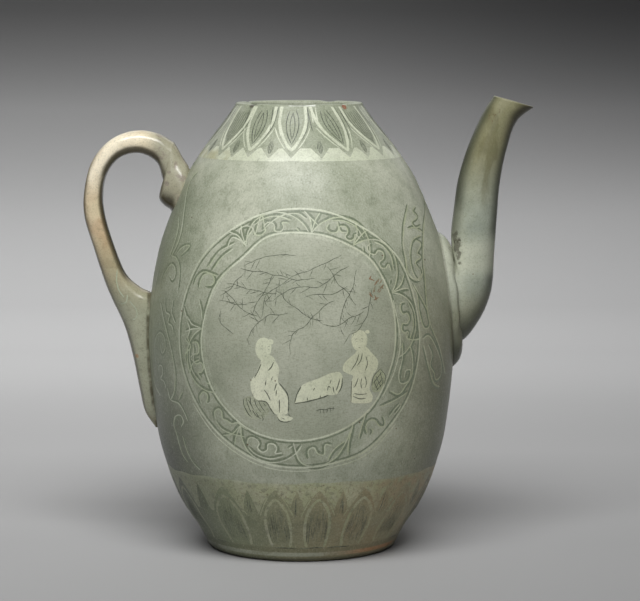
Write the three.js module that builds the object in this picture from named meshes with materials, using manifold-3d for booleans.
// Inlaid celadon ewer. The body is thrown in two halves luted at a seam, with a hollow spout and a
// strap handle luted on. White and black slips lie in grooves carved in the clay.
// Millimetres, +Z up, the spout towards +X, the handle towards -X, the front picture towards -Y.
// The origin is on the axis of the body, in the plane of the foot.

import * as THREE from "three";
import { mergeVertices } from "three/addons/utils/BufferGeometryUtils.js";
import Module from "manifold-3d";

const wasm = await Module();
wasm.setup();

// The body: a jar with a wide shoulder and an open mouth.
const bodyHeight = 243.6;
const footRadius = 50.8;
const bellyRadius = 84;
const bellyHeight = 118;
const mouthRadius = 33.9;
const seamHeight = 77.5;
const wallThickness = 4.5;
const floorThickness = 6;
const edgeRounding = 1.3;
const bodySides = 40;

// Outline of the body: [share of the way from foot or mouth radius to belly radius, share of height].
const footToBelly = [[0.025, 0.011], [0.202, 0.106], [0.434, 0.203], [0.596, 0.299], [0.717, 0.398],
  [0.831, 0.513], [0.919, 0.678], [0.979, 0.847], [1, 1]];
const bellyToMouth = [[0.978, 0.135], [0.934, 0.263], [0.854, 0.398], [0.721, 0.541], [0.571, 0.681],
  [0.419, 0.777], [0.293, 0.846], [0.14, 0.923], [0.066, 0.964], [0, 1]];

// The spout: a bent horn whose root straddles the belly.
const spoutRootHeight = 135;
const spoutReach = 43;
const spoutTipAboveRim = 3.6;
const spoutRootWidth = 32;
const spoutWall = 2.6;
const spoutSides = 12;
// Sections from root to tip: back edge x, z and front edge x, z as shares of reach and rise, then the
// width as a share of the root's width.
const spoutSections = [
  [-0.42, 0.2, -0.42, -0.24, 1],
  [0, 0.205, 0.11, -0.2, 1],
  [-0.012, 0.25, 0.33, -0.1, 0.94],
  [-0.022, 0.285, 0.485, 0.04, 0.875],
  [-0.026, 0.33, 0.53, 0.25, 0.78],
  [0.01, 0.46, 0.56, 0.43, 0.74],
  [0.058, 0.59, 0.59, 0.575, 0.705],
  [0.18, 0.75, 0.665, 0.725, 0.65],
  [0.39, 0.93, 0.8, 0.875, 0.56],
  [0.508, 1, 1.02, 0.945, 0.54],
];

// The roll of clay that lutes the spout to the body, and how far it spreads on the wall round the spout.
const collarAboveSpout = 15;
const collarBelowSpout = 14;
const collarBesideSpout = 4.6;
const collarStand = 4.4;
const collarSteps = 24;
// The roll across its run: [share of the spread, share of the stand], from its foot to inside the spout.
const collarShape = [[1, -0.5], [1, 0.12], [0.68, 0.72], [0.3, 1], [-0.3, 1], [-0.3, -0.5]];

// The handle: a strap that springs from the shoulder and runs down the belly as a long tail.
const handleReach = 35.1;
const handleTopBelowRim = 15.4;
const handleTailHeight = 65;
const handleWidth = 16.4;
const handleSides = 12;
// Sections: outer edge x, z and inner edge x, z as shares of the reach beyond the belly and of the
// height from the tail to the handle's top, then the width as a share of the strap's width.
const rootSections = [
  [-1.05, 0.82, -0.8, 0.66, 1.46],
  [-0.7, 0.86, -0.4, 0.7, 1.46],
  [-0.52, 0.915, -0.2, 0.765, 1.28],
  [-0.42, 0.96, -0.24, 0.83, 1.1],
];
const loopSections = [
  [-0.42, 0.96, -0.24, 0.83, 1.1],
  [-0.17, 0.991, -0.145, 0.895, 1.04],
  [0.19, 1, 0.12, 0.924, 1.01],
  [0.56, 0.971, 0.42, 0.909, 1],
  [0.85, 0.9, 0.63, 0.851, 1],
  [0.98, 0.8, 0.69, 0.778, 1],
  [0.995, 0.72, 0.66, 0.715, 1],
  [0.83, 0.6, 0.53, 0.618, 1.02],
  [0.66, 0.487, 0.33, 0.52, 1.1],
  [0.55, 0.43, 0.1, 0.49, 1.2],
];
const tailSections = [
  [0.55, 0.43, 0.1, 0.49, 1.2],
  [0.38, 0.35, -0.2, 0.38, 1.24],
  [0.25, 0.25, -0.25, 0.255, 1.22],
  [0.14, 0.13, -0.25, 0.135, 1.1],
  [0.06, 0.055, -0.27, 0.06, 0.85],
  [-0.1, 0.0, -0.3, 0.005, 0.43],
];

// Slips: set flush in grooves, with a hair of room round each.
const slipDepth = 1.2;
const lineWidth = 1.5;
const clearance = 0.3;

// The carved bands of lotus petals, at the mouth and at the foot.
const shoulderBandDrop = 28.7;
const shoulderPetals = 13;
const shoulderScallopLow = 2.6;
const shoulderScallopHigh = 6.5;
const footBandHeight = 46.8;
const footPetals = 16;
const footScallopLow = 3.4;
const footScallopHigh = 9;

// The round picture, front and back, fills the wall between the bands: two rings, with figures inside.
const pictureAboveFootBand = 6.6;
const pictureBelowShoulderBand = 24.9;
const scrollWidth = 15.3;
const ringSteps = 36;
// Outlines in the picture as shares of the inner ring's radius: [across, upwards] from its centre.
const leftFigure = [[-0.4, -0.071], [-0.365, 0], [-0.285, 0], [-0.242, -0.071], [-0.26, -0.169],
  [-0.205, -0.302], [-0.117, -0.498], [-0.117, -0.685], [-0.231, -0.685], [-0.441, -0.516],
  [-0.466, -0.409], [-0.391, -0.214]];
const boulder = [[-0.064, -0.593], [0.011, -0.416], [0.327, -0.327], [0.367, -0.409], [0.349, -0.509],
  [0.214, -0.527]];
const rightFigure = [[0.477, 0.027], [0.56, 0.068], [0.641, 0.009], [0.644, -0.116], [0.719, -0.214],
  [0.655, -0.436], [0.687, -0.605], [0.48, -0.591], [0.477, -0.391], [0.402, -0.327], [0.423, -0.278],
  [0.523, -0.16]];
const darkRock = [[-0.56, -0.569], [-0.477, -0.562], [-0.294, -0.715], [-0.356, -0.765],
  [-0.525, -0.754]];
const darkLeaf = [[0.754, -0.294], [0.786, -0.278], [0.811, -0.409], [0.776, -0.512], [0.722, -0.523],
  [0.701, -0.427]];

// Lines round the spout's root and down each side of the handle, between the round picture and the
// middle of the spout or handle: [share of the way round from picture to middle, share of the way up].
const panelGap = 3;
const panelBelowShoulderBand = 9.9;
const spoutPanelBelowCollar = 18.6;
const handlePanelAboveTail = 25;
const spoutPanel = [[1, 1], [0.63, 0.88], [0.115, 0.72], [0.041, 0.64], [0.073, 0.52], [0.153, 0.4],
  [0.347, 0.256], [0.681, 0.08], [1, 0]];
const handlePanel = [[0.767, 1], [0.583, 0.843], [0.379, 0.73], [0.331, 0.626], [0.409, 0.522],
  [0.387, 0.4], [0.286, 0.261], [0.24, 0.122], [0.272, 0]];

const celadon = { color: 0x93a189, roughness: 0.22, metalness: 0 };
const warmCeladon = { color: 0xb4a488, roughness: 0.28, metalness: 0 };
const whiteSlip = { color: 0xd2d8c2, roughness: 0.25, metalness: 0 };
const blackSlip = { color: 0x2c302b, roughness: 0.25, metalness: 0 };

const ewer = new THREE.Group();
ewer.name = "inlaid_celadon_ewer";

function bodyOutline() {
  const points = [];
  for (const [share, height] of footToBelly) {
    points.push(new THREE.Vector2(
      THREE.MathUtils.lerp(footRadius, bellyRadius, share),
      bellyHeight * height,
    ));
  }
  for (const [share, height] of bellyToMouth) {
    points.push(new THREE.Vector2(
      THREE.MathUtils.lerp(mouthRadius, bellyRadius, share),
      THREE.MathUtils.lerp(bellyHeight, bodyHeight, height),
    ));
  }
  return new THREE.SplineCurve(points).getPoints(260);
}

const outline = bodyOutline();

// The outline's point at a height: its radius, slope and distance along the wall.
function wallAt(height) {
  let travelled = 0;
  for (let i = 1; i < outline.length; i += 1) {
    const from = outline[i - 1];
    const to = outline[i];
    const step = to.distanceTo(from);
    if (height <= to.y || i === outline.length - 1) {
      const share = (height - from.y) / (to.y - from.y);
      return {
        radius: THREE.MathUtils.lerp(from.x, to.x, share),
        out: (to.y - from.y) / step,
        up: (from.x - to.x) / step,
        travelled: travelled + step * share,
      };
    }
    travelled += step;
  }
  return null;
}

function heightAtTravel(distance) {
  let low = outline[0].y;
  let high = bodyHeight;
  for (let i = 0; i < 40; i += 1) {
    const middle = (low + high) / 2;
    if (wallAt(middle).travelled < distance) {
      low = middle;
    } else {
      high = middle;
    }
  }
  return (low + high) / 2;
}

// The outline moved along its normal: positive outwards.
function offsetPoint(height, offset) {
  const wall = wallAt(height);
  return new THREE.Vector2(wall.radius + wall.out * offset, height + wall.up * offset);
}

// A place on the wall, by angle from the front towards the spout, and its outward normal.
function wallPlace(angle, height) {
  const wall = wallAt(height);
  const around = new THREE.Vector3(Math.sin(angle), -Math.cos(angle), 0);
  const point = around.clone().multiplyScalar(wall.radius).setZ(height);
  const normal = around.multiplyScalar(wall.out).setZ(wall.up);
  return { point, normal };
}

const shoulderBandHeight = bodyHeight - shoulderBandDrop;
const pictureFoot = wallAt(footBandHeight).travelled + pictureAboveFootBand;
const pictureTop = wallAt(shoulderBandHeight).travelled - pictureBelowShoulderBand;
const pictureMiddle = (pictureFoot + pictureTop) / 2;
const pictureRadius = (pictureTop - pictureFoot) / 2;
const frameRadius = pictureRadius - scrollWidth;

// The angle and height of a spot in the round picture.
function pictureSpot(across, upwards, side) {
  const height = heightAtTravel(pictureMiddle + upwards);
  return [side + across / wallAt(height).radius, height];
}

// The angle at which a line beside the round picture passes it at a height, with the gap between them.
function besidePicture(height) {
  const upwards = wallAt(height).travelled - pictureMiddle;
  const room = (pictureRadius + panelGap) ** 2 - upwards ** 2;
  return Math.sqrt(Math.max(room, 0)) / wallAt(height).radius;
}

function toSolid(geometry) {
  const shape = geometry.clone();
  shape.deleteAttribute("normal");
  shape.deleteAttribute("uv");
  const merged = mergeVertices(shape, 1e-4);
  const indices = merged.index.array;
  const kept = [];
  for (let i = 0; i < indices.length; i += 3) {
    const [a, b, c] = [indices[i], indices[i + 1], indices[i + 2]];
    if (a !== b && b !== c && c !== a) {
      kept.push(a, b, c);
    }
  }
  const solid = new wasm.Manifold(new wasm.Mesh({
    numProp: 3,
    vertProperties: Float32Array.from(merged.attributes.position.array),
    triVerts: Uint32Array.from(kept),
  }));
  if (solid.volume() <= 0) {
    throw new Error("a solid is inside out");
  }
  return solid;
}

function addPiece(name, solid, look) {
  const mesh = solid.getMesh();
  const geometry = new THREE.BufferGeometry();
  geometry.setAttribute("position", new THREE.BufferAttribute(mesh.vertProperties, 3));
  geometry.setIndex(new THREE.BufferAttribute(mesh.triVerts, 1));
  geometry.computeVertexNormals();
  const piece = new THREE.Mesh(geometry, new THREE.MeshStandardMaterial(look));
  piece.name = name;
  ewer.add(piece);
}

function turned(profile) {
  const lathe = new THREE.LatheGeometry(profile, bodySides);
  lathe.rotateX(Math.PI / 2);
  return toSolid(lathe);
}

// Rings of corners joined into one closed skin, with flat ends unless it closes on itself.
function joinRings(rings, closed) {
  const sides = rings[0].length;
  const positions = [];
  const indices = [];
  for (const ring of rings) {
    for (const corner of ring) {
      positions.push(corner.x, corner.y, corner.z);
    }
  }
  const spans = closed ? rings.length : rings.length - 1;
  for (let i = 0; i < spans; i += 1) {
    const here = i * sides;
    const next = ((i + 1) % rings.length) * sides;
    for (let j = 0; j < sides; j += 1) {
      const k = (j + 1) % sides;
      indices.push(here + j, here + k, next + k, here + j, next + k, next + j);
    }
  }
  if (!closed) {
    const last = (rings.length - 1) * sides;
    for (let j = 1; j < sides - 1; j += 1) {
      indices.push(0, j + 1, j, last, last + j, last + j + 1);
    }
  }
  const geometry = new THREE.BufferGeometry();
  geometry.setAttribute("position", new THREE.Float32BufferAttribute(positions, 3));
  geometry.setIndex(indices);
  return toSolid(geometry);
}

// A horn through sections: each an ellipse between a back and a front edge, made larger by grow.
function horn(sections, sides, grow) {
  const rings = sections.map((section) => {
    const centre = section.back.clone().add(section.front).multiplyScalar(0.5);
    const reach = section.front.clone().sub(section.back).multiplyScalar(0.5);
    const half = reach.length();
    reach.multiplyScalar((half + grow) / half);
    const ring = [];
    for (let j = 0; j < sides; j += 1) {
      const turn = (2 * Math.PI * (j + 0.5)) / sides;
      ring.push(new THREE.Vector3(
        centre.x + reach.x * Math.cos(turn),
        (section.width + grow) * Math.sin(turn),
        centre.y + reach.y * Math.cos(turn),
      ));
    }
    return ring;
  });
  return joinRings(rings, false);
}

// A strip of clay along a route on the wall. above and below are measured from the surface.
function ribbon(route, width, above, below, closed) {
  const places = route.map(([angle, height]) => wallPlace(angle, height));
  const count = places.length;
  const rings = places.map(({ point, normal }, i) => {
    const ahead = places[closed ? (i + 1) % count : Math.min(i + 1, count - 1)].point;
    const behind = places[closed ? (i + count - 1) % count : Math.max(i - 1, 0)].point;
    const side = normal.clone().cross(ahead.clone().sub(behind)).normalize();
    const corner = (sideways, outwards) => point.clone()
      .addScaledVector(side, sideways)
      .addScaledVector(normal, outwards);
    return [
      corner(width / 2, above),
      corner(-width / 2, above),
      corner(-width / 2, -below),
      corner(width / 2, -below),
    ];
  });
  return joinRings(rings, closed);
}

// A band round the body between two edges given as heights for an angle.
function band(steps, lowEdge, highEdge, above, below) {
  const rings = [];
  for (let i = 0; i < steps; i += 1) {
    const angle = (2 * Math.PI * i) / steps;
    const low = wallPlace(angle, lowEdge(i));
    const high = wallPlace(angle, highEdge(i));
    const corner = ({ point, normal }, outwards) => point.clone().addScaledVector(normal, outwards);
    rings.push([corner(high, above), corner(low, above), corner(low, -below), corner(high, -below)]);
  }
  return joinRings(rings, true);
}

// The wall's skin between two offsets, as a closed ring of clay.
function skin(outer, inner) {
  const levels = bodyLevels(edgeRounding * 2, bodyHeight - edgeRounding * 2);
  const profile = levels.map((height) => offsetPoint(height, outer));
  for (const height of levels.toReversed()) {
    profile.push(offsetPoint(height, inner));
  }
  profile.push(profile[0].clone());
  return turned(profile);
}

// A prism through the wall with an outline drawn in the round picture, grown by room on all sides.
function pictureCutter(spots, side, room) {
  const centre = spots.reduce(([x, y], [a, b]) => [x + a / spots.length, y + b / spots.length], [0, 0]);
  const corners = spots.map(([across, upwards]) => {
    const away = Math.hypot(across - centre[0], upwards - centre[1]) * frameRadius;
    const grow = (frameRadius * (away + room)) / away;
    const spot = pictureSpot(
      centre[0] * frameRadius + (across - centre[0]) * grow,
      centre[1] * frameRadius + (upwards - centre[1]) * grow,
      0,
    );
    return wallPlace(...spot).point;
  });
  const shape = new THREE.Shape(corners.map((corner) => new THREE.Vector2(corner.x, corner.z)));
  const prism = new THREE.ExtrudeGeometry(shape, { depth: 2 * bellyRadius, bevelEnabled: false });
  prism.rotateX(Math.PI / 2);
  prism.rotateZ(side);
  return toSolid(prism);
}

const outlineHeights = [
  ...footToBelly.map(([, height]) => bellyHeight * height),
  ...bellyToMouth.map(([, height]) => THREE.MathUtils.lerp(bellyHeight, bodyHeight, height)),
];

function bodyLevels(from, to) {
  const between = outlineHeights.filter((level) => level > from + edgeRounding && level < to - edgeRounding);
  return [from, ...between, to];
}

function lowerBody() {
  const profile = [new THREE.Vector2(0, 0), new THREE.Vector2(footRadius - edgeRounding, 0)];
  for (const height of bodyLevels(edgeRounding, seamHeight)) {
    profile.push(offsetPoint(height, 0).setY(height));
  }
  for (const height of bodyLevels(floorThickness, seamHeight).toReversed()) {
    profile.push(new THREE.Vector2(wallAt(height).radius - wallThickness / wallAt(height).out, height));
  }
  profile.push(new THREE.Vector2(0, floorThickness));
  return turned(profile);
}

function upperBody() {
  const rim = bodyHeight - edgeRounding;
  const levels = bodyLevels(seamHeight, rim);
  const profile = levels.map((height) => offsetPoint(height, 0).setY(height));
  profile.push(new THREE.Vector2(wallAt(rim).radius - edgeRounding, bodyHeight));
  const innerMouth = wallAt(rim).radius - wallThickness;
  profile.push(new THREE.Vector2(innerMouth + edgeRounding * 0.6, bodyHeight));
  profile.push(new THREE.Vector2(innerMouth, rim));
  for (const height of levels.slice(0, -1).toReversed()) {
    const inside = offsetPoint(height, -wallThickness);
    if (height === seamHeight) {
      profile.push(new THREE.Vector2(wallAt(height).radius - wallThickness / wallAt(height).out, height));
    } else if (inside.x > innerMouth) {
      profile.push(inside);
    }
  }
  profile.push(profile[0].clone());
  return turned(profile);
}

// The whole body as a full solid, grown by an offset: what luted pieces are trimmed to.
function bodyBlock(offset) {
  const profile = [new THREE.Vector2(0, 0)];
  for (const height of bodyLevels(edgeRounding, bodyHeight)) {
    profile.push(offsetPoint(height, offset).setY(height));
  }
  profile.push(new THREE.Vector2(0, bodyHeight));
  return turned(profile);
}

const spoutRootX = wallAt(spoutRootHeight).radius;
const spoutRise = bodyHeight + spoutTipAboveRim - spoutRootHeight;
const spoutRootHalfWidth = spoutRootWidth / 2;

function spoutEdges() {
  return spoutSections.map(([backX, backZ, frontX, frontZ, width]) => ({
    back: new THREE.Vector2(spoutRootX + spoutReach * backX, spoutRootHeight + spoutRise * backZ),
    front: new THREE.Vector2(spoutRootX + spoutReach * frontX, spoutRootHeight + spoutRise * frontZ),
    width: spoutRootHalfWidth * width,
  }));
}

// The bore runs on past both ends, so that it opens the tip and the wall behind the root.
function boreEdges() {
  const edges = spoutEdges();
  const [beforeLast, last] = edges.slice(-2);
  edges.push({
    back: last.back.clone().multiplyScalar(2).sub(beforeLast.back),
    front: last.front.clone().multiplyScalar(2).sub(beforeLast.front),
    width: last.width,
  });
  return edges;
}

// The spout's upper and lower edge where it meets the wall.
const [, spoutCrotch, , spoutHeel] = spoutSections[1];
const crotchHeight = spoutRootHeight + spoutRise * spoutCrotch;
const heelHeight = spoutRootHeight + spoutRise * spoutHeel;

// The collar is a ring of sections round the spout's root, each standing square to the wall.
function collarRoll() {
  const middle = (crotchHeight + heelHeight) / 2;
  const halfHeight = (crotchHeight - heelHeight) / 2;
  const rings = [];
  for (let i = collarSteps; i > 0; i -= 1) {
    const turn = (2 * Math.PI * i) / collarSteps;
    const upSpread = turn < Math.PI / 2 || turn > Math.PI * 1.5 ? collarAboveSpout : collarBelowSpout;
    rings.push(collarShape.map(([spread, stand]) => {
      const height = middle + Math.cos(turn) * (halfHeight + upSpread * spread);
      const across = Math.sin(turn) * (spoutRootHalfWidth + collarBesideSpout * spread);
      const angle = Math.PI / 2 - Math.asin(across / wallAt(height).radius);
      const { point, normal } = wallPlace(angle, height);
      return point.addScaledVector(normal, collarStand * stand);
    }));
  }
  return joinRings(rings, true);
}

const handleRise = bodyHeight - handleTopBelowRim - handleTailHeight;

function handleEdges(sections) {
  const place = (x, z) => new THREE.Vector2(
    -(bellyRadius + handleReach * x),
    handleTailHeight + handleRise * z,
  );
  return sections.map(([outerX, outerZ, innerX, innerZ, width]) => ({
    back: place(innerX, innerZ),
    front: place(outerX, outerZ),
    width: (handleWidth / 2) * width,
  }));
}

// More sections along a smooth line through the given ones.
function smoothed(edges, steps) {
  const through = (places) => new THREE.CatmullRomCurve3(places, false, "centripetal");
  const back = through(edges.map((edge) => new THREE.Vector3(edge.back.x, edge.back.y, edge.width)));
  const front = through(edges.map((edge) => new THREE.Vector3(edge.front.x, edge.front.y, edge.width)));
  const result = [];
  for (let i = 0; i <= steps; i += 1) {
    const backPlace = back.getPoint(i / steps);
    const frontPlace = front.getPoint(i / steps);
    result.push({
      back: new THREE.Vector2(backPlace.x, backPlace.y),
      front: new THREE.Vector2(frontPlace.x, frontPlace.y),
      width: (backPlace.z + frontPlace.z) / 2,
    });
  }
  return result;
}

// The first section moved a little along the strap, which leaves the hair of room at a luted end.
function movedStart(edges, distance) {
  const [first, second] = edges;
  const back = first.back.clone().lerp(second.back, distance / first.back.distanceTo(second.back));
  const front = first.front.clone().lerp(second.front, distance / first.front.distanceTo(second.front));
  return [{ back, front, width: first.width }, ...edges.slice(1)];
}

const grooves = [];
const slips = [];

function addSlip(name, slip, groove, look) {
  slips.push([name, slip, look]);
  grooves.push(groove);
}

function lineSlip(name, route, closed, look) {
  addSlip(
    name,
    ribbon(route, lineWidth, 0, slipDepth, closed),
    ribbon(route, lineWidth + 2 * clearance, slipDepth, slipDepth + clearance, closed),
    look,
  );
}

function ringRoute(radius, side) {
  const route = [];
  for (let i = 0; i < ringSteps; i += 1) {
    const turn = (2 * Math.PI * i) / ringSteps;
    route.push(pictureSpot(radius * Math.cos(turn), radius * Math.sin(turn), side));
  }
  return route;
}

function addPicture(prefix, side) {
  lineSlip(`${prefix}_outer_ring`, ringRoute(pictureRadius, side), true, whiteSlip);
  lineSlip(`${prefix}_inner_ring`, ringRoute(frameRadius, side), true, whiteSlip);
  const spots = [
    ["left_figure", leftFigure, whiteSlip],
    ["boulder", boulder, whiteSlip],
    ["right_figure", rightFigure, whiteSlip],
    ["dark_rock", darkRock, blackSlip],
    ["dark_leaf", darkLeaf, blackSlip],
  ];
  for (const [name, outlineSpots, look] of spots) {
    const slip = pictureCutter(outlineSpots, side, 0).intersect(slipSkin);
    const groove = pictureCutter(outlineSpots, side, clearance * 1.4).intersect(grooveSkin);
    addSlip(`${prefix}_${name}`, slip, groove, look);
  }
}

function petalBand(name, petals, plainEdge, low, high, upwards) {
  const steps = petals * 4;
  const scallop = (i) => plainEdge + upwards * (i % 4 === 0 ? low : i % 2 === 0 ? high : (low + high) / 2);
  const make = (room, above, below) => {
    const plain = () => plainEdge - upwards * room;
    const waved = (i) => scallop(i) + upwards * room;
    return upwards > 0 ? band(steps, plain, waved, above, below) : band(steps, waved, plain, above, below);
  };
  addSlip(name, make(0, 0, slipDepth), make(clearance, slipDepth, slipDepth + clearance), whiteSlip);
}

// A panel's line as angles from the front picture and heights.
function panelRoute(points, lowest) {
  const highest = shoulderBandHeight - panelBelowShoulderBand;
  return points.map(([round, up]) => {
    const height = THREE.MathUtils.lerp(lowest, highest, up);
    return [THREE.MathUtils.lerp(besidePicture(height), Math.PI / 2, round), height];
  });
}

const slipSkin = skin(0, -slipDepth);
const grooveSkin = skin(slipDepth, -slipDepth - clearance);

addPicture("front", 0);
addPicture("back", Math.PI);
petalBand(
  "shoulder_slip_band",
  shoulderPetals,
  shoulderBandHeight,
  shoulderScallopLow,
  shoulderScallopHigh,
  1,
);
petalBand("foot_slip_band", footPetals, footBandHeight, footScallopLow, footScallopHigh, -1);
const spoutFront = panelRoute(spoutPanel, heelHeight - collarBelowSpout - spoutPanelBelowCollar);
const spoutBack = spoutFront.slice(1, -1).toReversed().map(([angle, height]) => [Math.PI - angle, height]);
lineSlip("spout_panel_line", [...spoutFront, ...spoutBack], true, whiteSlip);
const handleFront = panelRoute(handlePanel, handleTailHeight + handlePanelAboveTail);
for (const [name, behind] of [["front", 0], ["back", 1]]) {
  const route = handleFront.map(([angle, height]) => [behind ? angle - Math.PI : -angle, height]);
  lineSlip(`handle_panel_line_${name}`, route, false, whiteSlip);
}

const spoutBore = horn(smoothed(boreEdges(), 16), spoutSides, -spoutWall);
const spoutOuter = smoothed(spoutEdges(), 15);
const trimming = bodyBlock(clearance);
const carving = wasm.Manifold.union(grooves);

addPiece("body_lower", lowerBody().subtract(carving), celadon);
addPiece("body_upper", upperBody().subtract(carving).subtract(spoutBore), celadon);
const spoutFull = horn(spoutOuter, spoutSides, 0);
const spoutRoom = horn(spoutOuter, spoutSides, 2 * clearance);
addPiece("spout", spoutFull.subtract(spoutBore).subtract(trimming), celadon);
addPiece("spout_collar", collarRoll().subtract(spoutRoom).subtract(spoutFull).subtract(trimming), celadon);
const rootSolid = horn(smoothed(handleEdges(rootSections), 6), handleSides, 0).subtract(trimming);
addPiece("handle_root", rootSolid, warmCeladon);
const loopEdges = movedStart(smoothed(handleEdges(loopSections), 18), clearance);
addPiece("handle_loop", horn(loopEdges, handleSides, 0).subtract(trimming), warmCeladon);
const tailEdges = movedStart(smoothed(handleEdges(tailSections), 10), clearance);
addPiece("handle_tail", horn(tailEdges, handleSides, 0).subtract(trimming), warmCeladon);
for (const [name, slip, look] of slips) {
  addPiece(name, slip, look);
}

export default ewer;
